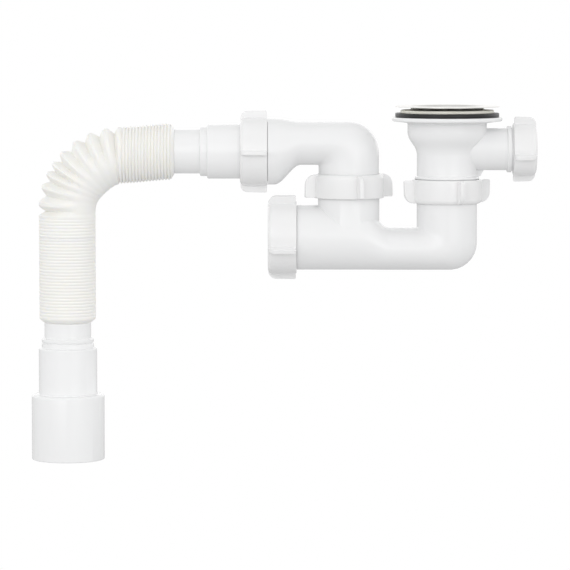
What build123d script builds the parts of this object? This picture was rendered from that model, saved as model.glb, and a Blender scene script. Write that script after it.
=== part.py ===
from build123d import *
import math
import os

# Shower tray trap: strainer waste, trap with a cleaning cap, and a corrugated outlet hose.
# Millimetres, +Z up. The origin is on the waste's axis, at the top face of its flange seal.
# The trap runs along -X from the waste to the hose, and the side inlet points along +X.

# Clearances
slip = 0.3  # a tube in its socket or in a nut's hole, on the radius
rest_gap = 0.1  # between faces that meet when a joint is made up
thread_room = 0.25  # a nut's bore over the thread's crest

# Mouldings
wall = 2.4
thread_depth = 1.0
thread_pitch = 2.6
edge = 0.6  # rounding of outer edges
bend_steps = 18  # sections round a bend
widen_steps = 14  # sections along a widening pipe

# Nuts and the cap
nut_wall = 1.9
nut_end = 2.4
nut_shoulder = 3.0
rib_width = 2.9
rib_edge = 0.45

# Waste: strainer, seals, flange, bowl and neck
brim_diameter = 71.0
brim_thickness = 0.7
brim_lift = 4.1
cup_diameter = 51.0
cup_floor_diameter = 45.0
cup_floor_lift = -1.0
strainer_hole = 4.6
strainer_rings = ((6, 9.6), (12, 17.2))  # holes in a ring, radius of the ring
gasket_thickness = 2.0
gasket_diameter = 64.0
seal_thickness = 2.9
seal_diameter = 71.0
seal_opening = 53.0
flange_diameter = 75.3
flange_thickness = 3.5
bowl_diameter = 54.1
bowl_depth = 9.9
bowl_taper = 9.1
bowl_round = 12.0
neck_diameter = 41.2
neck_length = 18.0
collar_width = 1.6

# Strainer screw, its boss and the spokes that carry the boss
screw_diameter = 6.0
screw_head_diameter = 11.0
screw_head_height = 2.6
screw_length = 29.0
insert_diameter = 8.6
boss_diameter = 12.6
boss_top = -11.0
boss_height = 15.0
spoke_width = 2.6
spoke_height = 8.0

# Side inlet and its blanking nut
side_axis_drop = 24.8
side_diameter = 28.7
side_crest_diameter = 31.6
side_collar_start = 40.9
side_collar_width = 2.9
side_nut_stand = 1.3  # thread left bare between the collar and the nut
side_thread_length = 10.5
side_seal_thickness = 2.0
plug_thickness = 2.0
side_rib_height = 4.9
side_rib_turn = 14.0

# Unions between the waste, the trap and the elbow
union_crest_diameter = 43.8
union_thread_length = 10.2
union_nut_stand = 0.4
union_seal_height = 4.0
union_spigot_length = 8.0
union_rib_height = 7.2
waste_rib_turn = -18.0
outlet_rib_turn = 16.0

# Trap
trap_span = 67.2  # from the waste's axis to the outlet riser's axis
trap_drop = 23.3  # from the waste's mouth to the top of the run
run_height = 28.9
run_bend_round = 18.5
run_straight = 18.5  # from the riser's side to the start of the widening
chamber_diameter = 44.3
chamber_start = 8.0  # end of the widening before the outlet riser's axis
chamber_lift = 0.1  # chamber's floor above the run's
chamber_reach = 50.8  # from the outlet riser's axis to the chamber's mouth
chamber_thread_length = 15.4
outlet_riser_diameter = 42.0
outlet_riser_rise = 30.3  # from the top of the run to the riser's mouth
cap_crest_diameter = 45.2
cap_nut_stand = 0.3
cap_seal_thickness = 2.0
cap_rib_height = 5.5
cap_rib_turn = -16.0

# Outlet elbow and the hose union
elbow_rise = 12.7  # from the outlet riser's mouth to the underside of the arm
arm_height = 29.5
arm_bend_round = 21.0
elbow_reach = 55.3  # from the spigot's axis to the shoulder of the hose thread
elbow_flare = 18.0
elbow_end_diameter = 45.1
elbow_end_drop = 20.4  # from the top of the arm to the hose's axis
hose_thread_length = 12.0
hose_nut_stand = 0.3
hose_seal_height = 4.4
hose_rib_height = 4.9
hose_rib_turn = 0.0

# Hose cuffs
plug_end_diameter = 37.0
plug_end_insert = 11.0  # how far the upper cuff goes into the elbow
plug_end_visible = 29.4  # from the elbow's mouth to the first step
cuff_ring_diameter = 33.6
cuff_ring_width = 5.0
upper_neck_diameter = 30.0
upper_neck_length = 17.4
lower_neck_diameter = 32.0
lower_neck_length = 10.9
lower_ring_diameter = 35.7
lower_ring_width = 6.4
small_spigot_diameter = 40.0
small_spigot_length = 32.2
outlet_spigot_diameter = 50.0
outlet_spigot_length = 44.9
barb_length = 12.0  # part of a cuff that goes into the hose

# Corrugated hose
hose_diameter = 39.0
hose_bore = 26.4
hose_fold = 2.18  # pitch of the closed folds
hose_groove = 1.5  # depth that shows between closed folds
hose_open_depth = 5.4  # depth of the folds opened in the bend
hose_wall = 1.0
hose_run_folds = 15
hose_drop_folds = 35
hose_bend_folds = 9
hose_bend_radius = 38.2
hose_end_chamfer = 2.7


# Sizes that follow from the ones above
tube = neck_diameter / 2
throat = tube - wall - 0.1
union_crest = union_crest_diameter / 2
union_bore = union_crest + thread_room
spigot = throat - slip
side_r = side_diameter / 2
side_crest = side_crest_diameter / 2
chamber = chamber_diameter / 2
cap_crest = cap_crest_diameter / 2
plug_end = plug_end_diameter / 2
socket = plug_end + slip
hose_crest = socket + wall - 0.2
hose_r = hose_diameter / 2
barb = hose_bore / 2 - 0.15

flange_top = -seal_thickness
flange_base = flange_top - flange_thickness
bowl_base = flange_base - bowl_depth
neck_top = bowl_base - bowl_taper
waste_thread = neck_top - neck_length - collar_width
waste_mouth = waste_thread - union_thread_length

run_top = waste_mouth - trap_drop
run_base = run_top - run_height
chamber_z = run_base + chamber_lift + chamber
chamber_mouth = -trap_span - chamber_reach
outlet_mouth = run_top + outlet_riser_rise

arm_base = outlet_mouth + elbow_rise
arm_top = arm_base + arm_height
hose_z = arm_top - elbow_end_drop
hose_shoulder = -trap_span - elbow_reach
hose_mouth = hose_shoulder - hose_thread_length

cuff_step = hose_mouth - plug_end_visible
cuff_neck = cuff_step - cuff_ring_width
hose_start = cuff_neck - upper_neck_length
hose_bend_x = hose_start - hose_end_chamfer - hose_run_folds * hose_fold
hose_bend_z = hose_z - hose_bend_radius
drop_x = hose_bend_x - hose_bend_radius
hose_end = hose_bend_z - hose_drop_folds * hose_fold - hose_end_chamfer


def turned(points, radii=None):
    """Solid of revolution about Z from (radius, height) corners, each with its own rounding."""
    if radii:
        outline = FilletPolyline(*points, radius=radii, close=True)
    else:
        outline = Polyline(*points, close=True)
    return revolve(Plane.XZ * make_face(outline), Axis.Z)


def ring(inner, outer, low, high):
    """Plain ring about Z."""
    return turned([(inner, low), (outer, low), (outer, high), (inner, high)])


def disc(outer, low, high):
    """Plain disc about Z."""
    return turned([(0, low), (outer, low), (outer, high), (0, high)])


def facing(origin, direction):
    """Plane whose Z is the direction and whose X is the object's front."""
    return Plane(origin=origin, x_dir=(0, -1, 0), z_dir=direction)


def thread_steps(start, end, root, crest):
    """Corners of thread ridges from one height to another, root first and a crest last."""
    turns = max(2, round(abs(end - start) / thread_pitch))
    pitch = (end - start) / turns
    points = []
    for i in range(turns):
        low = start + i * pitch
        points += [(root, low), (root, low + 0.35 * pitch)]
        points += [(crest, low + 0.55 * pitch), (crest, low + 0.8 * pitch)]
    points[-1] = (crest, end)
    return points


def grip_nut(length, bore, rib_height, hole, turn):
    """Nut along +Z with four grip ribs: open end at 0, closed end at length, no hole for a cap."""
    body = bore + nut_wall
    reach = body + rib_height
    inside = length - nut_end
    corners = [(bore, 0), (body, 0), (body, length), (hole, length), (hole, inside), (bore, inside)]
    shell = turned(corners, [0, edge, nut_shoulder, 0 if hole == 0 else edge, 0, 0])
    root = bore + 0.3
    outline = FilletPolyline(
        (root, 0.5),
        (reach, 0.5),
        (reach - 0.4, length - 0.3),
        (root, length - 0.3),
        radius=[0, 1.0, rib_height - 0.1, 0],
        close=True,
    )
    rib = extrude(Plane.XZ * make_face(outline), rib_width / 2, both=True)
    rib = fillet(rib.edges().filter_by(lambda e: abs((e % 0.5).Y) < 0.5), rib_edge)
    for quarter in range(4):
        shell += Rot(0, 0, turn + 90 * quarter) * rib
    return shell


def corner_reach(angle, across, along, rounding):
    """Distance from a box's corner to its far boundary, whose far corner is rounded."""
    dx = math.cos(angle)
    dy = math.sin(angle)
    cx = across - rounding
    cy = along - rounding
    if dx > 1e-9 and across / dx * dy <= cy:
        return across / dx
    if dy > 1e-9 and along / dy * dx <= cx:
        return along / dy
    dot = dx * cx + dy * cy
    return dot + math.sqrt(dot * dot - cx * cx - cy * cy + rounding * rounding)


def oval(x, z, tangent, half_y, half_n):
    """Elliptical section across a pipe that lies in the XZ plane."""
    turns = [2 * math.pi * k / 16 for k in range(16)]
    points = [(half_y * math.cos(a), half_n * math.sin(a)) for a in turns]
    face = make_face(Spline(*points, periodic=True))
    return Plane(origin=(x, 0, z), x_dir=(0, 1, 0), z_dir=tangent) * face


def skinned(sections, split):
    """Ruled skin through sections, in two halves that share the section in the middle of the bend."""
    return loft(sections[: split + 1], ruled=True) + loft(sections[split:], ruled=True)


def bent_pipe(inset, axis_x, start, corner_z, up, radius, height, rounding, run, end):
    """Pipe that rises or falls on a vertical axis, turns to -X with a full corner and widens to a circle.

    run holds the x where the widening starts and ends; end holds the circle's height, radius and last x.
    """
    inner = 1.0
    px = axis_x - radius - inner
    pz = corner_z - up * inner
    half_y = radius - inset
    near = inner + inset
    sections = [oval(axis_x, start + up * inset, (0, 0, up), half_y, half_y)]
    for k in range(bend_steps + 1):
        angle = math.pi / 2 * k / bend_steps
        far = corner_reach(
            angle, 2 * radius + inner - inset, height + inner - inset, rounding - inset
        )
        mid = (near + far) / 2
        x = px + mid * math.cos(angle)
        z = pz + up * mid * math.sin(angle)
        tangent = (-math.sin(angle), 0, up * math.cos(angle))
        sections.append(oval(x, z, tangent, half_y, (far - near) / 2))
    mid_z = corner_z + up * height / 2
    half_z = height / 2 - inset
    wide_z, wide, stop = end
    wide -= inset
    for k in range(widen_steps + 1):
        t = k / widen_steps
        s = t * t * (3 - 2 * t)
        x = run[0] + (run[1] - run[0]) * t
        z = mid_z + (wide_z - mid_z) * s
        across = half_y + (wide - half_y) * s
        high = half_z + (wide - half_z) * s
        sections.append(oval(x, z, (-1, 0, 0), across, high))
    sections.append(oval(stop, wide_z, (-1, 0, 0), wide, wide))
    return skinned(sections, 1 + bend_steps // 2)


# Strainer plate: brim, cup wall and perforated floor
brim = brim_diameter / 2
cup = cup_diameter / 2
cup_floor = cup_floor_diameter / 2
brim_top = brim_lift + brim_thickness
cup_floor_top = cup_floor_lift + brim_thickness
strainer_plate = turned(
    [
        (0, cup_floor_lift),
        (cup_floor, cup_floor_lift),
        (cup, brim_lift),
        (brim, brim_lift),
        (brim, brim_top),
        (cup - brim_thickness, brim_top),
        (cup_floor - brim_thickness, cup_floor_top),
        (0, cup_floor_top),
    ],
    [0, 1.6, 1.0, 0, 0.3, 1.7, 0.9, 0],
)
strainer_plate -= disc(screw_diameter / 2 + slip, cup_floor_lift - 1, cup_floor_top + 1)
for count, radius in strainer_rings:
    for k in range(count):
        turn = 360 * (k + 0.5) / count
        hole = disc(strainer_hole / 2, cup_floor_lift - 1, cup_floor_top + 1)
        strainer_plate -= Rot(0, 0, turn) * (Pos(radius, 0, 0) * hole)

# Strainer screw with a cross-slotted pan head
head_low = cup_floor_top + rest_gap / 2
head_top = head_low + screw_head_height
screw_end = head_low - screw_length
centre_screw = turned(
    [
        (0, screw_end),
        (screw_diameter / 2, screw_end),
        (screw_diameter / 2, head_low),
        (screw_head_diameter / 2, head_low),
        (screw_head_diameter / 2, head_top),
        (0, head_top),
    ],
    [0, 0.8, 0, 0, 1.6, 0],
)
slot = Box(0.62 * screw_head_diameter, 1.4, 3.0)
for turn in (0, 90):
    centre_screw -= Pos(0, 0, head_top) * (Rot(0, 0, turn) * slot)

# Seals under the tray
opening = seal_opening / 2
tray_gasket = turned(
    [
        (opening, 0),
        (gasket_diameter / 2, 0),
        (gasket_diameter / 2, gasket_thickness),
        (opening, gasket_thickness),
    ],
    [0, 0.3, 0.7, 0.3],
)
flange_seal = turned(
    [
        (opening, flange_top),
        (seal_diameter / 2, flange_top),
        (seal_diameter / 2, 0),
        (opening, 0),
    ],
    [0, 0.5, 0.5, 0],
)

# Waste body: outside of the flange, bowl, neck and threaded tail
flange = flange_diameter / 2
bowl = bowl_diameter / 2
union_root = union_crest - thread_depth
tail = thread_steps(waste_thread, waste_mouth, union_root, union_crest)
waste_points = [
    (0, flange_top),
    (flange, flange_top),
    (flange, flange_base + 0.9),
    (bowl, flange_base - 0.4),
    (bowl, bowl_base),
    (tube, neck_top),
    (tube, waste_thread + collar_width),
    (union_crest, waste_thread + collar_width),
    (union_crest, waste_thread),
] + tail + [(0, waste_mouth)]
waste_radii = [0, edge, 1.0, 1.2, bowl_round, bowl_round, 0.5, 0.4, 0.2] + [0] * (len(tail) + 1)
waste_outside = turned(waste_points, waste_radii)

# Side inlet with its collar and thread, and the web below it
side_root = side_crest - thread_depth
side_thread = side_collar_start + side_collar_width
side_mouth = side_thread + side_thread_length
side_steps = thread_steps(side_thread, side_mouth, side_root, side_crest)
side_points = [
    (0, 0),
    (side_r, 0),
    (side_r, side_collar_start),
    (side_crest, side_collar_start),
    (side_crest, side_thread),
] + side_steps + [(0, side_mouth)]
side_radii = [0, 0, 0.6, 0.5, 0.4] + [0] * (len(side_steps) + 1)
side_plane = facing((0, 0, -side_axis_drop), (1, 0, 0))
side_outside = side_plane * turned(side_points, side_radii)
side_low = -side_axis_drop - side_r
web = Polyline(
    (tube - 1.5, side_low + 3),
    (tube + 6.0, side_low + 3),
    (tube + 2.2, waste_thread + collar_width + 0.2),
    (tube - 1.5, waste_thread + collar_width + 0.2),
    close=True,
)
waste_outside += side_outside
waste_outside += extrude(Plane.XZ * make_face(web), 1.5, both=True)

# Waste body: waterway, screw boss and spokes
bowl_in = bowl - wall
waste_inside = turned(
    [
        (0, flange_top + 1),
        (bowl_in, flange_top + 1),
        (bowl_in, bowl_base),
        (throat, neck_top),
        (throat, waste_mouth - 1),
        (0, waste_mouth - 1),
    ],
    [0, 0, bowl_round, bowl_round, 0, 0],
)
side_bore = side_r - wall
waste_inside += side_plane * disc(side_bore, 0, side_mouth + 1)
boss_base = boss_top - boss_height
boss = disc(boss_diameter / 2, boss_base, boss_top)
spokes = Pos(0, 0, boss_top - 1 - spoke_height / 2) * Box(2 * bowl, spoke_width, spoke_height)
spokes += Rot(0, 0, 90) * spokes
boss += (Rot(0, 0, 45) * spokes) & waste_outside
waste_body = waste_outside - waste_inside + boss
waste_body -= disc(insert_diameter / 2, boss_base - 1, boss_top + 1)
screw_insert = ring(screw_diameter / 2 + 0.15, insert_diameter / 2, boss_base + 0.5, boss_top - 0.3)

# Side inlet seal, blanking plug and nut
side_nut_bore = side_crest + thread_room
side_inlet_seal = side_plane * ring(
    side_bore, side_crest, side_mouth, side_mouth + side_seal_thickness
)
plug_start = side_mouth + side_seal_thickness
plug_outer = plug_start + plug_thickness
side_hole = side_bore + 0.8
side_inlet_plug = turned(
    [
        (0, plug_start),
        (side_crest, plug_start),
        (side_crest, plug_outer),
        (side_hole - slip, plug_outer),
        (side_hole - slip, plug_outer + 0.6 * nut_end),
        (0, plug_outer + 0.6 * nut_end),
    ],
    [0, 0, 0.3, 0, 0.6, 0],
)
side_inlet_plug = side_plane * side_inlet_plug
side_nut_start = side_thread + side_nut_stand
side_nut_length = plug_outer + rest_gap + nut_end - side_nut_start
side_inlet_nut = grip_nut(side_nut_length, side_nut_bore, side_rib_height, side_hole, side_rib_turn)
side_inlet_nut = facing((side_nut_start, 0, -side_axis_drop), (1, 0, 0)) * side_inlet_nut

# Unions: a nut and a square seal ring on the tube below or above the threaded tail
union_nut_length = union_thread_length - union_nut_stand + union_seal_height + 2 * rest_gap + nut_end
waste_union_nut = grip_nut(union_nut_length, union_bore, union_rib_height, tube + slip, waste_rib_turn)
waste_union_nut = facing((0, 0, waste_thread - union_nut_stand), (0, 0, -1)) * waste_union_nut
waste_union_seal = ring(
    tube + rest_gap, union_crest, waste_mouth - rest_gap - union_seal_height, waste_mouth - rest_gap
)
outlet_thread = outlet_mouth - union_thread_length
outlet_union_nut = grip_nut(union_nut_length, union_bore, union_rib_height, tube + slip, outlet_rib_turn)
outlet_union_nut = facing((-trap_span, 0, outlet_thread + union_nut_stand), (0, 0, 1)) * outlet_union_nut
outlet_union_seal = Pos(-trap_span, 0, outlet_mouth + rest_gap) * ring(
    tube + rest_gap, union_crest, 0, union_seal_height
)

# Trap body: riser, bend, run and chamber as one pipe, with the outlet riser and both threads
riser_top = waste_mouth - slip
chamber_thread = chamber_mouth + chamber_thread_length
widen = (-tube - run_straight, -trap_span + chamber_start)
trap_pipe = (0, riser_top, run_top, -1, tube, run_height, run_bend_round, widen)
trap_body = bent_pipe(0, *trap_pipe, (chamber_z, chamber, chamber_thread))
outlet_riser = outlet_riser_diameter / 2
outlet_steps = thread_steps(outlet_thread, outlet_mouth, union_root, union_crest)
outlet_points = [(0, chamber_z), (outlet_riser, chamber_z), (outlet_riser, outlet_thread)]
outlet_points += outlet_steps + [(0, outlet_mouth)]
trap_body += Pos(-trap_span, 0, 0) * turned(outlet_points)
chamber_plane = facing((chamber_thread, 0, chamber_z), (-1, 0, 0))
chamber_steps = thread_steps(0, chamber_thread_length, cap_crest - thread_depth, cap_crest)
trap_body += chamber_plane * turned([(0, 0)] + chamber_steps + [(0, chamber_thread_length)])
spigot_top = riser_top + union_spigot_length
trap_body += disc(spigot, riser_top - 1, spigot_top)
trap_body -= bent_pipe(wall, *trap_pipe, (chamber_z, chamber, chamber_mouth - 1))
trap_body -= Pos(-trap_span, 0, 0) * disc(throat, chamber_z, outlet_mouth + 1)
trap_body -= disc(spigot - wall, riser_top - wall - 1, spigot_top + 1)

# Cleaning cap and its seal
cap_bore = cap_crest + thread_room
cap_seal_end = chamber_thread_length + cap_seal_thickness
cap_length = cap_seal_end + rest_gap + nut_end - cap_nut_stand
cleaning_cap = grip_nut(cap_length, cap_bore, cap_rib_height, 0, cap_rib_turn)
cleaning_cap = facing((chamber_thread - cap_nut_stand, 0, chamber_z), (-1, 0, 0)) * cleaning_cap
cleaning_cap_seal = chamber_plane * ring(
    chamber - wall, cap_crest, chamber_thread_length, cap_seal_end
)

# Outlet elbow: spigot, bend, arm and flare as one pipe, with the hose thread
elbow_base = outlet_mouth + slip
elbow_end = elbow_end_diameter / 2
arm_widen = (hose_shoulder + 4.5 + elbow_flare, hose_shoulder + 4.5)
elbow_pipe = (-trap_span, elbow_base, arm_base, 1, tube, arm_height, arm_bend_round, arm_widen)
outlet_elbow = bent_pipe(0, *elbow_pipe, (hose_z, elbow_end, hose_shoulder))
hose_plane = facing((hose_shoulder, 0, hose_z), (-1, 0, 0))
hose_steps = thread_steps(0, hose_thread_length, hose_crest - thread_depth, hose_crest)
hose_end_points = [(0, -1), (hose_crest - 1, -1)] + hose_steps + [(0, hose_thread_length)]
outlet_elbow += hose_plane * turned(hose_end_points)
outlet_elbow += Pos(-trap_span, 0, 0) * disc(spigot, elbow_base - union_spigot_length, elbow_base + 1)
outlet_elbow -= bent_pipe(wall, *elbow_pipe, (hose_z, elbow_end, hose_shoulder + 3))
outlet_elbow -= hose_plane * disc(socket - 1.4, -4, 1)
outlet_elbow -= hose_plane * disc(socket, hose_thread_length - plug_end_insert - slip, hose_thread_length + 1)
outlet_elbow -= Pos(-trap_span, 0, 0) * disc(
    spigot - wall, elbow_base - union_spigot_length - 1, elbow_base + wall + 1
)

# Hose nut and seal
hose_nut_bore = hose_crest + thread_room
hose_nut_length = hose_thread_length - hose_nut_stand + hose_seal_height + 2 * rest_gap + nut_end
hose_nut = grip_nut(hose_nut_length, hose_nut_bore, hose_rib_height, plug_end + slip, hose_rib_turn)
hose_nut = facing((hose_shoulder - hose_nut_stand, 0, hose_z), (-1, 0, 0)) * hose_nut
hose_seal_start = hose_thread_length + rest_gap
hose_seal = hose_plane * ring(
    plug_end + rest_gap, hose_crest, hose_seal_start, hose_seal_start + hose_seal_height
)

# Upper cuff, drawn along its own axis from the end inside the elbow
cuff_plane = facing((hose_mouth + plug_end_insert, 0, hose_z), (-1, 0, 0))
plug_length = plug_end_insert + plug_end_visible
ring_at = plug_length + cuff_ring_width
neck_at = ring_at + upper_neck_length
cuff_ring = cuff_ring_diameter / 2
upper_neck = upper_neck_diameter / 2
upper_points = [
    (plug_end - wall, 0),
    (plug_end, 0),
    (plug_end, plug_length),
    (cuff_ring, plug_length),
    (cuff_ring, ring_at),
    (upper_neck, ring_at),
    (upper_neck, neck_at),
    (barb, neck_at),
    (barb, neck_at + barb_length),
    (barb - wall + 0.4, neck_at + barb_length),
    (barb - wall + 0.4, ring_at + 4),
    (plug_end - wall, plug_length - 4),
]
hose_upper_cuff = cuff_plane * turned(upper_points, [0, 0.8, 0.8, 0.3, 0.8, 0.4, 0.4, 0, 0.4, 0, 2, 2])

# Lower cuff, drawn downwards from the hose's end
lower_neck = lower_neck_diameter / 2
lower_ring = lower_ring_diameter / 2
small_spigot = small_spigot_diameter / 2
outlet_spigot = outlet_spigot_diameter / 2
ring_low = -lower_neck_length - lower_ring_width
groove_at = -lower_neck_length - 0.45 * lower_ring_width
small_low = ring_low - small_spigot_length
outlet_low = small_low - outlet_spigot_length
barb_bore = barb - wall + 0.4
lower_points = [
    (barb_bore, barb_length),
    (barb, barb_length),
    (barb, 0),
    (lower_neck, 0),
    (lower_neck, -lower_neck_length),
    (lower_ring, -lower_neck_length),
    (lower_ring, groove_at + 0.5),
    (lower_ring - 0.8, groove_at),
    (lower_ring, groove_at - 0.5),
    (lower_ring, ring_low),
    (small_spigot, ring_low - 0.4),
    (small_spigot, small_low),
    (outlet_spigot, small_low),
    (outlet_spigot, outlet_low),
    (outlet_spigot - wall, outlet_low),
    (outlet_spigot - wall, small_low - wall),
    (small_spigot - wall, small_low - wall),
    (small_spigot - wall, ring_low - 3),
    (barb_bore, -lower_neck_length + 2),
]
lower_radii = [0, 0.4, 0, 0.4, 0.4, 0.8, 0.2, 0.2, 0.2, 0.3, 0.8, 0.6, 1.6, 0.8, 0, 1, 1, 2, 2]
hose_lower_cuff = Pos(drop_x, 0, hose_end) * turned(lower_points, lower_radii)


def hose_ring(distance, radius):
    """Circle across the hose at a distance along its centreline, measured from the start of the bend."""
    arc = hose_bend_radius * math.pi / 2
    angle = min(max(distance / hose_bend_radius, 0), math.pi / 2)
    run = min(distance, 0)
    drop = max(distance - arc, 0)
    x = hose_bend_x - run - hose_bend_radius * math.sin(angle)
    z = hose_bend_z + hose_bend_radius * math.cos(angle) - drop
    tangent = (-math.cos(angle), 0, -math.sin(angle))
    return Plane(origin=(x, 0, z), x_dir=(0, 1, 0), z_dir=tangent) * Circle(radius)


# Corrugated hose: closed folds on the run and the drop, opened ones round the bend
arc = hose_bend_radius * math.pi / 2
run_length = hose_run_folds * hose_fold
drop_length = hose_drop_folds * hose_fold
fold_arc = arc / hose_bend_folds
skin = [hose_ring(-run_length - hose_end_chamfer, upper_neck)]
for k in range(hose_run_folds):
    skin.append(hose_ring((k - hose_run_folds) * hose_fold, hose_r))
    skin.append(hose_ring((k + 0.5 - hose_run_folds) * hose_fold, hose_r - hose_groove))
for k in range(hose_bend_folds):
    skin.append(hose_ring(k * fold_arc, hose_r))
    skin.append(hose_ring((k + 0.5) * fold_arc, hose_r - hose_open_depth))
for k in range(hose_drop_folds):
    skin.append(hose_ring(arc + k * hose_fold, hose_r))
    skin.append(hose_ring(arc + (k + 0.5) * hose_fold, hose_r - hose_groove))
skin.append(hose_ring(arc + drop_length, hose_r))
skin.append(hose_ring(arc + drop_length + hose_end_chamfer, lower_neck))
bore_r = hose_bore / 2
lining = [hose_ring(-run_length - hose_end_chamfer - 1, bore_r), hose_ring(0, bore_r)]
for k in range(hose_bend_folds):
    lining.append(hose_ring((k + 0.5) * fold_arc, bore_r))
    lining.append(hose_ring((k + 1) * fold_arc, hose_r - hose_wall))
lining[-1] = hose_ring(arc, bore_r)
lining.append(hose_ring(arc + drop_length + hose_end_chamfer + 1, bore_r))
corrugated_hose = skinned(skin, 1 + 2 * hose_run_folds + hose_bend_folds)
corrugated_hose -= skinned(lining, 1 + hose_bend_folds)

nodes = {
    "strainer_plate": strainer_plate,
    "centre_screw": centre_screw,
    "tray_gasket": tray_gasket,
    "flange_seal": flange_seal,
    "waste_body": waste_body,
    "screw_insert": screw_insert,
    "side_inlet_seal": side_inlet_seal,
    "side_inlet_plug": side_inlet_plug,
    "side_inlet_nut": side_inlet_nut,
    "waste_union_nut": waste_union_nut,
    "waste_union_seal": waste_union_seal,
    "trap_body": trap_body,
    "cleaning_cap": cleaning_cap,
    "cleaning_cap_seal": cleaning_cap_seal,
    "outlet_union_nut": outlet_union_nut,
    "outlet_union_seal": outlet_union_seal,
    "outlet_elbow": outlet_elbow,
    "hose_nut": hose_nut,
    "hose_seal": hose_seal,
    "hose_upper_cuff": hose_upper_cuff,
    "corrugated_hose": corrugated_hose,
    "hose_lower_cuff": hose_lower_cuff,
}
os.makedirs("parts", exist_ok=True)
for name, part in nodes.items():
    part.label = name
    export_step(part, f"parts/{name}.step")
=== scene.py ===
import math

import bpy
import numpy as np
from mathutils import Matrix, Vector


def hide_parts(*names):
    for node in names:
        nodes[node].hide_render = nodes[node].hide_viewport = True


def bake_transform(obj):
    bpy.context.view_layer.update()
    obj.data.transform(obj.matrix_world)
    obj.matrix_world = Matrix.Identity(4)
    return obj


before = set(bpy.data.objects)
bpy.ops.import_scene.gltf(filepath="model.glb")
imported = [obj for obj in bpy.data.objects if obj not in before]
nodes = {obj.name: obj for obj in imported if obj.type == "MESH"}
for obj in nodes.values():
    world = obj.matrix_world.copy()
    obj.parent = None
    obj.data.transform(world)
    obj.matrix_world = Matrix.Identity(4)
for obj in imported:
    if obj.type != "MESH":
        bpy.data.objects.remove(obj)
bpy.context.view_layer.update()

# Sizes in metres that the hose shares with the solids
HOSE_AXIS_Z = -0.0264
HOSE_START_X = -0.1863
BEND_X = -0.2217
BEND_Z = -0.0646
DROP_X = -0.2599
HOSE_END_Z = -0.1436
HOSE_BORE = 0.0132
UPPER_NECK = 0.0150
LOWER_NECK = 0.0160
FOLD_PITCH = 0.00218
END_CHAMFER = 0.0027

# The hose as it hangs: it droops a little before the bend, and the folds round the bend are drawn open
RUN_DROOP = 0.0024
FOLD_RADIUS = 0.0194
FIN_ANGLES = np.radians([12.0, 23.4, 35.0, 47.3, 56.7, 64.7, 74.5, 87.3])
CLOSED_DEPTH = 0.0013
LEG_DEPTH = 0.0002
INNER_FILL = 0.0022
OPEN_DEPTH = 0.0047
RUN_FOLDS = 15
UPPER_LEG_FOLDS = 6
NOTCH_PAST_FIN = 0.0042
SHOULDER_PAST_FIN = 0.0080
LAST_RUN_CREST_BACK = 0.0004
BEND_EASE_IN = 0.006
BEND_EASE_OUT = 0.009
BEND_OVERRUN = 0.012  # how far past the bend its smooth inside goes on
INNER_SMOOTH = 0.97  # share of a fold's depth that is gone on the inside of the bend
SWELL_LEAD = 0.004
CHAMFER_SHOULDER = 0.85  # share of an end chamfer that its cone takes up
UPPER_SHOULDER_DROP = 0.0006
LOWER_SHOULDER_DROP = 0.0004
BEND_BORE_ROWS = 40
LEG_BORE_ROWS = 30
FLAT_CREST = 0.25  # share of an opened flank that stays flat
CREST_ROUNDNESS = 1.6
FADE_HALF = 0.55  # folds fade out where the cosine of the angle goes from this to minus this
FOLD_SHARP_EDGE = math.radians(30)
AROUND = 96  # points round the hose
FOLD_STEPS = 5  # rows on each flank of a fold

# The quarter of an ellipse that the hose follows round its bend
bend_top = HOSE_AXIS_Z - RUN_DROOP
bend_across = BEND_X - DROP_X
bend_high = bend_top - BEND_Z
bend_arc = math.pi / 4 * (bend_across + bend_high)

scene = bpy.context.scene


# Shader node helpers
def feed(tree, socket, value):
    """Gives an input its value: a socket is linked to it, and a number or colour is set on it."""
    if isinstance(value, bpy.types.NodeSocket):
        tree.links.new(value, socket)
    else:
        socket.default_value = value


def add(tree, kind, values=None, **settings):
    """New node of a kind, with its settings and the values of its inputs."""
    node = tree.nodes.new(kind)
    for name, value in settings.items():
        setattr(node, name, value)
    for name, value in (values or {}).items():
        feed(tree, node.inputs[name], value)
    return node


def new_group(name, inputs, outputs):
    """Empty shader group with named sockets: returns its tree, its input node and its output node."""
    tree = bpy.data.node_groups.new(name, "ShaderNodeTree")
    for label, kind in inputs:
        tree.interface.new_socket(label, in_out="INPUT", socket_type=kind)
    for label, kind in outputs:
        tree.interface.new_socket(label, in_out="OUTPUT", socket_type=kind)
    return tree, tree.nodes.new("NodeGroupInput"), tree.nodes.new("NodeGroupOutput")


def math_node(tree, operation, a, b=None, clamp=False):
    """Math node of one or two values, given as sockets or numbers; returns its output."""
    node = add(tree, "ShaderNodeMath", operation=operation, use_clamp=clamp)
    feed(tree, node.inputs[0], a)
    if b is not None:
        feed(tree, node.inputs[1], b)
    return node.outputs[0]


def mix_colour(tree, factor, a, b):
    """Colour mix from a to b; returns its output."""
    node = add(tree, "ShaderNodeMix", {0: factor, 6: a, 7: b}, data_type="RGBA")
    return node.outputs[2]


COLOUR = "NodeSocketColor"
VALUE = "NodeSocketFloat"
VECTOR = "NodeSocketVector"
SEAM_WIDTH = 0.00022
GRAIN_HEIGHT = 0.0002
TURNED_HEIGHT = 0.0001


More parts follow.
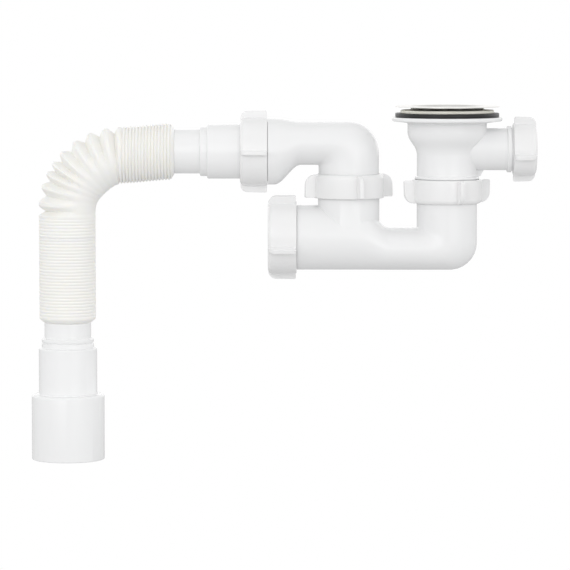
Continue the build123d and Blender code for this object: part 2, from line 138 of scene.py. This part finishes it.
def moulded_skin_group():
    """Moulded surface: slow clouds between two tones, finer clouds of gloss and a fine grain as height."""
    tree, into, out = new_group(
        "moulded_skin",
        [("Vector", VECTOR), ("Tone", COLOUR), ("Shade", COLOUR), ("Cloud Scale", VALUE),
         ("Rough Low", VALUE), ("Rough High", VALUE), ("Grain Scale", VALUE)],
        [("Color", COLOUR), ("Roughness", VALUE), ("Height", VALUE)],
    )
    place = into.outputs["Vector"]
    cloud = add(tree, "ShaderNodeTexNoise", {
        "Vector": place, "Scale": into.outputs["Cloud Scale"], "Detail": 3.0})
    cloud_mask = add(tree, "ShaderNodeMapRange", {
        "Value": cloud.outputs["Fac"], "From Min": 0.35, "From Max": 0.7})
    tone = mix_colour(tree, cloud_mask.outputs[0], into.outputs["Tone"], into.outputs["Shade"])
    gloss_scale = math_node(tree, "MULTIPLY", into.outputs["Cloud Scale"], 3.7)
    gloss = add(tree, "ShaderNodeTexNoise", {"Vector": place, "Scale": gloss_scale, "Detail": 4.0})
    rough = add(tree, "ShaderNodeMapRange", {
        "Value": gloss.outputs["Fac"], "From Min": 0.3, "From Max": 0.7,
        "To Min": into.outputs["Rough Low"], "To Max": into.outputs["Rough High"]})
    grain = add(tree, "ShaderNodeTexNoise", {
        "Vector": place, "Scale": into.outputs["Grain Scale"], "Detail": 2.0})
    tree.links.new(tone, out.inputs["Color"])
    tree.links.new(rough.outputs[0], out.inputs["Roughness"])
    tree.links.new(grain.outputs["Fac"], out.inputs["Height"])
    return tree


def mould_seam_group():
    """Parting line of a two-half mould: a fine raised line where the surface crosses the plane y = Offset."""
    tree, into, out = new_group(
        "mould_seam", [("Vector", VECTOR), ("Offset", VALUE), ("Width", VALUE)], [("Height", VALUE)])
    y = add(tree, "ShaderNodeSeparateXYZ", {"Vector": into.outputs["Vector"]}).outputs["Y"]
    away = math_node(tree, "ABSOLUTE", math_node(tree, "SUBTRACT", y, into.outputs["Offset"]))
    share = math_node(tree, "DIVIDE", away, into.outputs["Width"])
    tree.links.new(math_node(tree, "SUBTRACT", 1.0, share, clamp=True), out.inputs["Height"])
    return tree


def scuff_group():
    """Fine rubbed marks: thin streaks from a noise drawn out along X, broken up by a second one."""
    tree, into, out = new_group(
        "scuffs", [("Vector", VECTOR), ("Scale", VALUE), ("Amount", VALUE)], [("Mask", VALUE)])
    drawn = add(tree, "ShaderNodeMapping", {"Vector": into.outputs["Vector"], "Scale": (0.12, 1.0, 1.6)})
    streak = add(tree, "ShaderNodeTexNoise", {
        "Vector": drawn.outputs[0], "Scale": into.outputs["Scale"], "Detail": 5.0, "Roughness": 0.65})
    line = add(tree, "ShaderNodeMapRange", {
        "Value": streak.outputs["Fac"], "From Min": 0.58, "From Max": 0.72})
    patch = add(tree, "ShaderNodeTexNoise", {
        "Vector": into.outputs["Vector"], "Scale": 45.0, "Detail": 2.0})
    where = add(tree, "ShaderNodeMapRange", {
        "Value": patch.outputs["Fac"], "From Min": 0.48, "From Max": 0.66})
    both = math_node(tree, "MULTIPLY", line.outputs[0], where.outputs[0])
    tree.links.new(math_node(tree, "MULTIPLY", both, into.outputs["Amount"]), out.inputs["Mask"])
    return tree


SKIN = moulded_skin_group()
SEAM = mould_seam_group()
SCUFFS = scuff_group()


def put_group(tree, group, values):
    """Places a shader group in a material with its own values."""
    return add(tree, "ShaderNodeGroup", values, node_tree=group)


def new_material(name, settings):
    """Material with a Principled shader whose plain values are set on its own sockets."""
    material = bpy.data.materials.new(name)
    material.use_nodes = True
    shader = material.node_tree.nodes["Principled BSDF"]
    for label, value in settings.items():
        shader.inputs[label].default_value = value
    return material, material.node_tree, shader


def moulded_material(name, tone, shade, rough, grain, bump, settings, seam=0.0, scuffs=0.0, cloud=22.0):
    """Moulded plastic or rubber: clouded tone and gloss, fine grain, optional seam and rubbed marks."""
    material, tree, shader = new_material(name, settings)
    place = add(tree, "ShaderNodeTexCoord").outputs["Object"]
    skin = put_group(tree, SKIN, {
        "Vector": place, "Tone": (*tone, 1), "Shade": (*shade, 1), "Cloud Scale": cloud,
        "Rough Low": rough[0], "Rough High": rough[1], "Grain Scale": grain})
    colour = skin.outputs["Color"]
    roughness = skin.outputs["Roughness"]
    height = skin.outputs["Height"]
    if seam:
        line = put_group(tree, SEAM, {"Vector": place, "Offset": 0.0, "Width": SEAM_WIDTH})
        raised = math_node(tree, "MULTIPLY", line.outputs["Height"], seam)
        height = math_node(tree, "ADD", height, raised)
    if scuffs:
        marks = put_group(tree, SCUFFS, {"Vector": place, "Scale": 260.0, "Amount": scuffs})
        roughness = math_node(tree, "ADD", roughness, marks.outputs["Mask"], clamp=True)
    relief = add(tree, "ShaderNodeBump", {"Height": height, "Strength": bump, "Distance": GRAIN_HEIGHT})
    tree.links.new(colour, shader.inputs["Base Color"])
    tree.links.new(roughness, shader.inputs["Roughness"])
    tree.links.new(relief.outputs[0], shader.inputs["Normal"])
    return material


def hose_material():
    """Ivory bellows plastic: clouded tone, duller down in the folds, with painted shade (a darker, warmer
    tone) down in the folds and all through the bore, by attribute fold_depth.
    """
    material, tree, shader = new_material("ivory_bellows", {
        "Subsurface Weight": 0.25, "Subsurface Radius": (1.0, 0.85, 0.6), "Subsurface Scale": 0.002,
        "Specular IOR Level": 0.4})
    place = add(tree, "ShaderNodeTexCoord").outputs["Object"]
    skin = put_group(tree, SKIN, {
        "Vector": place, "Tone": (0.925, 0.92, 0.895, 1), "Shade": (0.91, 0.903, 0.872, 1),
        "Cloud Scale": 30.0, "Rough Low": 0.34, "Rough High": 0.46, "Grain Scale": 2600.0})
    fold = add(tree, "ShaderNodeAttribute", attribute_name="fold_depth", attribute_type="GEOMETRY")
    depth = fold.outputs["Fac"]
    # painted shade: the tone is mixed toward a darker, warmer colour as fold_depth grows, down in the folds
    # and in the bore
    inside = math_node(tree, "MULTIPLY", depth, 0.3)
    colour = mix_colour(tree, inside, skin.outputs["Color"], (0.90, 0.885, 0.83, 1))
    rough = math_node(tree, "ADD", skin.outputs["Roughness"], math_node(tree, "MULTIPLY", depth, 0.12))
    relief = add(tree, "ShaderNodeBump", {
        "Height": skin.outputs["Height"], "Strength": 0.12, "Distance": GRAIN_HEIGHT})
    tree.links.new(colour, shader.inputs["Base Color"])
    tree.links.new(rough, shader.inputs["Roughness"])
    tree.links.new(relief.outputs[0], shader.inputs["Normal"])
    return material


def metal_material(name, tone, shade, rough, turned, scuffs):
    """Turned or polished metal: fine rings about the waste's axis, clouded tone and rubbed marks."""
    material, tree, shader = new_material(name, {"Metallic": 1.0})
    place = add(tree, "ShaderNodeTexCoord").outputs["Object"]
    rings = add(
        tree, "ShaderNodeTexWave", {"Vector": place, "Scale": turned, "Distortion": 1.5, "Detail": 2.0},
        wave_type="RINGS", rings_direction="Z")
    skin = put_group(tree, SKIN, {
        "Vector": place, "Tone": (*tone, 1), "Shade": (*shade, 1), "Cloud Scale": 40.0,
        "Rough Low": rough[0], "Rough High": rough[1], "Grain Scale": 1800.0})
    marks = put_group(tree, SCUFFS, {"Vector": place, "Scale": 400.0, "Amount": scuffs})
    ring_rough = math_node(tree, "MULTIPLY", rings.outputs["Fac"], 0.05)
    turned_rough = math_node(tree, "ADD", skin.outputs["Roughness"], ring_rough)
    roughness = math_node(tree, "ADD", turned_rough, marks.outputs["Mask"], clamp=True)
    relief = add(tree, "ShaderNodeBump", {
        "Height": rings.outputs["Fac"], "Strength": 0.05, "Distance": TURNED_HEIGHT})
    tree.links.new(skin.outputs["Color"], shader.inputs["Base Color"])
    tree.links.new(roughness, shader.inputs["Roughness"])
    tree.links.new(relief.outputs[0], shader.inputs["Normal"])
    return material


GLOSSY = {"Specular IOR Level": 0.5}
RUBBER = {"Specular IOR Level": 0.4}
GASKET = {"Specular IOR Level": 0.35}
pipe_white = moulded_material(
    "pipe_white", tone=(0.885, 0.887, 0.891), shade=(0.87, 0.872, 0.875), rough=(0.17, 0.22),
    grain=1500.0, bump=0.03, settings=GLOSSY, seam=1.2, scuffs=0.02)
nut_white = moulded_material(
    "nut_white", tone=(0.886, 0.886, 0.888), shade=(0.872, 0.872, 0.872), rough=(0.19, 0.26),
    grain=1700.0, bump=0.04, settings=GLOSSY, scuffs=0.04)
cuff_white = moulded_material(
    "cuff_white", tone=(0.90, 0.903, 0.906), shade=(0.888, 0.89, 0.893), rough=(0.20, 0.26),
    grain=1600.0, bump=0.03, settings=GLOSSY, seam=1.0, scuffs=0.02)
seal_black = moulded_material(
    "seal_black", tone=(0.006, 0.006, 0.007), shade=(0.012, 0.012, 0.012), rough=(0.26, 0.40),
    grain=2200.0, bump=0.12, settings=RUBBER, scuffs=0.1)
seal_grey = moulded_material(
    "seal_grey", tone=(0.05, 0.05, 0.052), shade=(0.075, 0.075, 0.075), rough=(0.5, 0.66),
    grain=2200.0, bump=0.25, settings=RUBBER)
gasket_cream = moulded_material(
    "gasket_cream", tone=(0.94, 0.93, 0.85), shade=(0.92, 0.90, 0.80), rough=(0.5, 0.65),
    grain=1900.0, bump=0.3, settings=GASKET, cloud=60.0)
steel_polished = metal_material(
    "steel_polished", tone=(0.86, 0.855, 0.835), shade=(0.82, 0.815, 0.79), rough=(0.28, 0.36),
    turned=420.0, scuffs=0.12)
brass_turned = metal_material(
    "brass_turned", tone=(0.72, 0.53, 0.22), shade=(0.62, 0.44, 0.17), rough=(0.22, 0.32),
    turned=900.0, scuffs=0.1)
ivory_bellows = hose_material()

FINISHES = {
    "strainer_plate": steel_polished,
    "centre_screw": steel_polished,
    "tray_gasket": gasket_cream,
    "flange_seal": seal_black,
    "waste_body": pipe_white,
    "screw_insert": brass_turned,
    "side_inlet_seal": seal_grey,
    "side_inlet_plug": nut_white,
    "side_inlet_nut": nut_white,
    "waste_union_nut": nut_white,
    "waste_union_seal": seal_grey,
    "trap_body": pipe_white,
    "cleaning_cap": nut_white,
    "cleaning_cap_seal": seal_grey,
    "outlet_union_nut": nut_white,
    "outlet_union_seal": seal_grey,
    "outlet_elbow": pipe_white,
    "hose_nut": nut_white,
    "hose_seal": seal_grey,
    "hose_upper_cuff": cuff_white,
    "hose_lower_cuff": cuff_white,
    "corrugated_hose": ivory_bellows,
}

# The solids keep their shape: their triangles are joined for shading, and stay sharp at real edges
SHARP_EDGE = math.radians(28)
WELD_REACH = 0.000002
for name, material in FINISHES.items():
    solid = nodes[name]
    solid.data.materials.clear()
    solid.data.materials.append(material)
    solid.data.shade_smooth()
    weld = solid.modifiers.new("joined", "WELD")
    weld.merge_threshold = WELD_REACH
    split = solid.modifiers.new("sharp_edges", "EDGE_SPLIT")
    split.split_angle = SHARP_EDGE


# Corrugated hose
def hose_line(s):
    """Centre and outward normal of the hose at distances s, which are 0 at the start of the bend.

    Before the bend the line runs along -X and droops by a smooth step, round the bend it is a quarter of an
    ellipse about the bend's centre, and after it the line falls along -Z. The normal is along +Z before the
    bend, turns evenly round it and is along -X after it.
    """
    angle = np.clip(s / bend_arc, 0, 1) * math.pi / 2
    run = np.minimum(s, 0)
    drop = np.maximum(s - bend_arc, 0)
    t = np.clip(1 + run / (HOSE_START_X - BEND_X), 0, 1)
    x = BEND_X - run - bend_across * np.sin(angle)
    z = BEND_Z + bend_high * np.cos(angle) - drop + RUN_DROOP * (1 - t * t * (3 - 2 * t))
    centre = np.stack([x, np.zeros_like(x), z], axis=-1)
    normal = np.stack([-np.sin(angle), np.zeros_like(x), np.cos(angle)], axis=-1)
    return centre, normal


def fold_rows(valleys, crests, depths, open_flanks, steps):
    """Rows along a row of folds: distance, share of depth and depth at each row.

    Each fold goes from a valley up to its crest and down to the next valley. On a closed flank the share of
    depth is the distance from the crest to the power CREST_ROUNDNESS, which gives round crests; an opened
    flank is flat next to its crest and then falls straight.
    """
    u = np.linspace(0, 1, steps, endpoint=False)
    rows = []
    for k in range(len(crests)):
        for start, stop, depth, opened, share in (
            (valleys[k], crests[k], depths[k], open_flanks[k], 1 - u),
            (crests[k], valleys[k + 1], depths[k + 1], open_flanks[k + 1], u),
        ):
            s = start + (stop - start) * u
            opened_fall = np.clip((share - FLAT_CREST) / (1 - FLAT_CREST), 0, 1)
            fall = opened_fall if opened else share ** CREST_ROUNDNESS
            rows.append(np.stack([s, fall, np.full_like(s, depth)]))
    last = np.array([[valleys[-1]], [1.0], [depths[-1]]])
    return np.concatenate(rows + [last], axis=1)


def closed_tube(name, s, crest, depth, share, inner_share, fill, bore_s):
    """Closed tube on the hose's line: an outer skin with a radius for each row and angle, and a plain bore.

    Point at row i and angle a = centre + radius * (cos a * normal + sin a * Y), and the radius of the skin is
    crest - share * depth. The depth of a fold shrinks to inner_share of itself on the inside of the bend,
    where the skin swells by fill * cos(a)^2. The bore runs back from the last row to the first.
    """
    a = np.linspace(0, 2 * math.pi, AROUND, endpoint=False)
    side = np.clip((np.cos(a) + FADE_HALF) / (2 * FADE_HALF), 0, 1)
    outside = side * side * (3 - 2 * side)
    inside = np.clip(-np.cos(a), 0, 1) ** 2
    centre, normal = hose_line(np.concatenate([s, bore_s]))
    taper = inner_share[:, None] + (1 - inner_share[:, None]) * outside[None, :]
    skin = crest[:, None] - share[:, None] * depth[:, None] * taper + fill[:, None] * inside[None, :]
    bore = np.full((len(bore_s), AROUND), HOSE_BORE)
    reach = np.concatenate([skin, bore])
    y = np.array([0.0, 1.0, 0.0])
    ring = np.cos(a)[None, :, None] * normal[:, None, :] + np.sin(a)[None, :, None] * y
    points = centre[:, None, :] + reach[:, :, None] * ring
    rows = len(points)
    i, j = np.meshgrid(np.arange(rows), np.arange(AROUND), indexing="ij")
    ni, nj = (i + 1) % rows, (j + 1) % AROUND
    corners = [i * AROUND + j, i * AROUND + nj, ni * AROUND + nj, ni * AROUND + j]
    quads = np.stack(corners, axis=-1).reshape(-1, 4)
    # fold_depth is the fold's share of depth on the skin and 1 all through the bore; the hose material paints
    # shade by it
    fold = np.concatenate([share[:, None] * taper, np.ones((len(bore_s), AROUND))])
    return new_piece(name, points.reshape(-1, 3), quads, fold.ravel())


def new_piece(name, points, quads, fold):
    """Mesh object from arrays of points and quads, turned outwards, with the fold_depth attribute."""
    a, b, c, d = (points[quads[:, k]] for k in range(4))
    volume = (a * np.cross(b, c)).sum() + (a * np.cross(c, d)).sum()
    if volume < 0:
        quads = quads[:, ::-1]
    mesh = bpy.data.meshes.new(name)
    mesh.from_pydata(points.tolist(), [], quads.tolist())
    mesh.attributes.new("fold_depth", "FLOAT", "POINT").data.foreach_set("value", fold.astype(np.float32))
    mesh.update()
    mesh.shade_smooth()
    mesh.set_sharp_from_angle(angle=FOLD_SHARP_EDGE)
    piece = bpy.data.objects.new(name, mesh)
    scene.collection.objects.link(piece)
    piece.data.materials.append(ivory_bellows)
    return piece


leg_length = BEND_Z - HOSE_END_Z - END_CHAMFER
run_start = BEND_X - HOSE_START_X  # below 0, as the bend starts at 0

# Run, bend and the top of the leg
fins = FIN_ANGLES / (math.pi / 2) * bend_arc
between = (fins[1:] + fins[:-1]) / 2
run_valleys = run_start + END_CHAMFER + FOLD_PITCH * np.arange(RUN_FOLDS + 1)
run_crests = run_valleys[:-1] + FOLD_PITCH / 2
first_valley = fins[0] - (between[0] - fins[0])
last_run_crest = (run_valleys[-1] + first_valley) / 2 - LAST_RUN_CREST_BACK
notch = fins[-1] + NOTCH_PAST_FIN
shoulder = fins[-1] + SHOULDER_PAST_FIN
leg_valleys = shoulder + FOLD_PITCH * (0.5 + np.arange(UPPER_LEG_FOLDS + 1))
leg_crests = leg_valleys[:-1] + FOLD_PITCH / 2
upper_leg = leg_valleys[-1] - bend_arc
valleys = np.concatenate([run_valleys, [first_valley], between, [notch], leg_valleys])
crests = np.concatenate([run_crests, [last_run_crest], fins, [shoulder], leg_crests])
opened = np.concatenate([np.zeros(RUN_FOLDS + 1), np.ones(len(fins) + 1), np.zeros(UPPER_LEG_FOLDS + 1)]) > 0
closed_depth = np.where(valleys < 0, CLOSED_DEPTH, LEG_DEPTH)
depths = np.where(opened, OPEN_DEPTH, closed_depth)
s, share, depth = fold_rows(valleys, crests, depths, opened, FOLD_STEPS)
in_bend = np.clip(s / BEND_EASE_IN, 0, 1) * np.clip((bend_arc + BEND_OVERRUN - s) / BEND_EASE_OUT, 0, 1)
swell_share = np.clip((s + SWELL_LEAD) / (bend_arc + BEND_OVERRUN), 0, 1)
swell = INNER_FILL * np.sin(math.pi * swell_share) ** 2
flat = np.zeros(2)  # the two rows of an end chamfer have no folds
chamfer_s = np.array([run_start, run_start + CHAMFER_SHOULDER * END_CHAMFER])
chamfer_r = np.array([UPPER_NECK, FOLD_RADIUS - UPPER_SHOULDER_DROP])
s_all = np.concatenate([chamfer_s, s])
hose_bend = closed_tube(
    "hose_bend_folds", s_all,
    crest=np.concatenate([chamfer_r, np.full_like(s, FOLD_RADIUS)]),
    depth=np.concatenate([flat, depth]),
    share=np.concatenate([flat, share]),
    inner_share=np.concatenate([1 - flat, 1 - INNER_SMOOTH * in_bend]),
    fill=np.concatenate([flat, swell]),
    bore_s=np.linspace(s_all[-1], s_all[0], BEND_BORE_ROWS))

# Rest of the leg, down to the lower cuff
leg_start = bend_arc + upper_leg
leg_folds = round((leg_length - upper_leg) / FOLD_PITCH)
leg_end = bend_arc + leg_length
leg_pitch = (leg_end - leg_start) / leg_folds
valleys = leg_start + leg_pitch * np.arange(leg_folds + 1)
crests = valleys[:-1] + leg_pitch / 2
depths = np.full(leg_folds + 1, LEG_DEPTH)
opened = np.zeros(leg_folds + 1) > 0
s, share, depth = fold_rows(valleys, crests, depths, opened, FOLD_STEPS)
chamfer_s = leg_end + END_CHAMFER * np.array([1 - CHAMFER_SHOULDER, 1])
chamfer_r = np.array([FOLD_RADIUS - LOWER_SHOULDER_DROP, LOWER_NECK])
s_all = np.concatenate([s, chamfer_s])
hose_leg = closed_tube(
    "hose_leg_folds", s_all,
    crest=np.concatenate([np.full_like(s, FOLD_RADIUS), chamfer_r]),
    depth=np.concatenate([depth, flat]),
    share=np.concatenate([share, flat]),
    inner_share=np.ones(len(s_all)),
    fill=np.zeros(len(s_all)),
    bore_s=np.linspace(s_all[-1], s_all[0], LEG_BORE_ROWS))

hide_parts("corrugated_hose")
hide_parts("corrugated_hose")
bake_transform(hose_bend)
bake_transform(hose_leg)


# Stage, light and camera
FLOOR_Z = -0.62
FLOOR_HALF = 30.0
FLOOR_TONE = (0.68, 0.68, 0.68, 1)
SKY_SIDE = 1.34
SKY_TOP = 0.62
MIDDLE = Vector((-0.1108, 0.0, -0.118))
CAMERA_PLACE = Vector((-0.1108, -2.392, 0.0787))
CAMERA_LENS = 221.0


def stage_material():
    """White sweep: it shows as plain white and sends a duller light back to the object."""
    material = bpy.data.materials.new("sweep_white")
    material.use_nodes = True
    tree = material.node_tree
    tree.nodes.clear()
    path = add(tree, "ShaderNodeLightPath")
    shown = add(tree, "ShaderNodeEmission", {"Color": (1, 1, 1, 1), "Strength": 1.0})
    lit = add(tree, "ShaderNodeBsdfDiffuse", {"Color": FLOOR_TONE})
    mix = add(tree, "ShaderNodeMixShader", {
        0: path.outputs["Is Camera Ray"], 1: lit.outputs[0], 2: shown.outputs[0]})
    out = add(tree, "ShaderNodeOutputMaterial")
    tree.links.new(mix.outputs[0], out.inputs["Surface"])
    return material


floor_mesh = bpy.data.meshes.new("floor")
floor_mesh.from_pydata(
    [(-FLOOR_HALF, -FLOOR_HALF, FLOOR_Z), (FLOOR_HALF, -FLOOR_HALF, FLOOR_Z),
     (FLOOR_HALF, FLOOR_HALF, FLOOR_Z), (-FLOOR_HALF, FLOOR_HALF, FLOOR_Z)], [], [(0, 1, 2, 3)])
floor = bpy.data.objects.new("floor", floor_mesh)
floor.data.materials.append(stage_material())
scene.collection.objects.link(floor)

world = bpy.data.worlds.new("studio")
scene.world = world
world.use_nodes = True
tree = world.node_tree
tree.nodes.clear()
path = add(tree, "ShaderNodeLightPath")
seen = add(tree, "ShaderNodeBackground", {"Color": (1, 1, 1, 1), "Strength": 1.0})
way = add(tree, "ShaderNodeSeparateXYZ", {"Vector": add(tree, "ShaderNodeTexCoord").outputs["Generated"]})
sky = add(tree, "ShaderNodeMapRange", {
    "Value": way.outputs["Z"], "From Min": 0.1, "From Max": 0.9, "To Min": SKY_SIDE, "To Max": SKY_TOP})
room = add(tree, "ShaderNodeBackground", {"Color": (1.0, 1.0, 1.0, 1), "Strength": sky.outputs[0]})
mix = add(tree, "ShaderNodeMixShader", {
    0: path.outputs["Is Camera Ray"], 1: room.outputs[0], 2: seen.outputs[0]})
world_out = add(tree, "ShaderNodeOutputWorld")
tree.links.new(mix.outputs[0], world_out.inputs["Surface"])


def soft_light(name, place, size, watts):
    """Square area light that faces the object."""
    light = bpy.data.lights.new(name, "AREA")
    light.shape = "SQUARE"
    light.size = size
    light.energy = watts
    lamp = bpy.data.objects.new(name, light)
    lamp.location = place
    lamp.rotation_euler = (MIDDLE - Vector(place)).to_track_quat("-Z", "Y").to_euler()
    scene.collection.objects.link(lamp)


soft_light("key_left", place=(-1.0, -2.2, 0.55), size=1.4, watts=6)
soft_light("fill_right", place=(1.1, -2.2, 0.15), size=1.4, watts=4)
soft_light("top", place=(-0.1, -0.4, 1.6), size=1.3, watts=1)

camera_data = bpy.data.cameras.new("camera")
camera_data.sensor_width = 36.0
camera_data.lens = CAMERA_LENS
camera_data.clip_end = 200.0
camera = bpy.data.objects.new("camera", camera_data)
camera.location = CAMERA_PLACE
camera.rotation_euler = (MIDDLE - CAMERA_PLACE).to_track_quat("-Z", "Y").to_euler()
scene.collection.objects.link(camera)
scene.camera = camera
scene.view_settings.view_transform = "Standard"
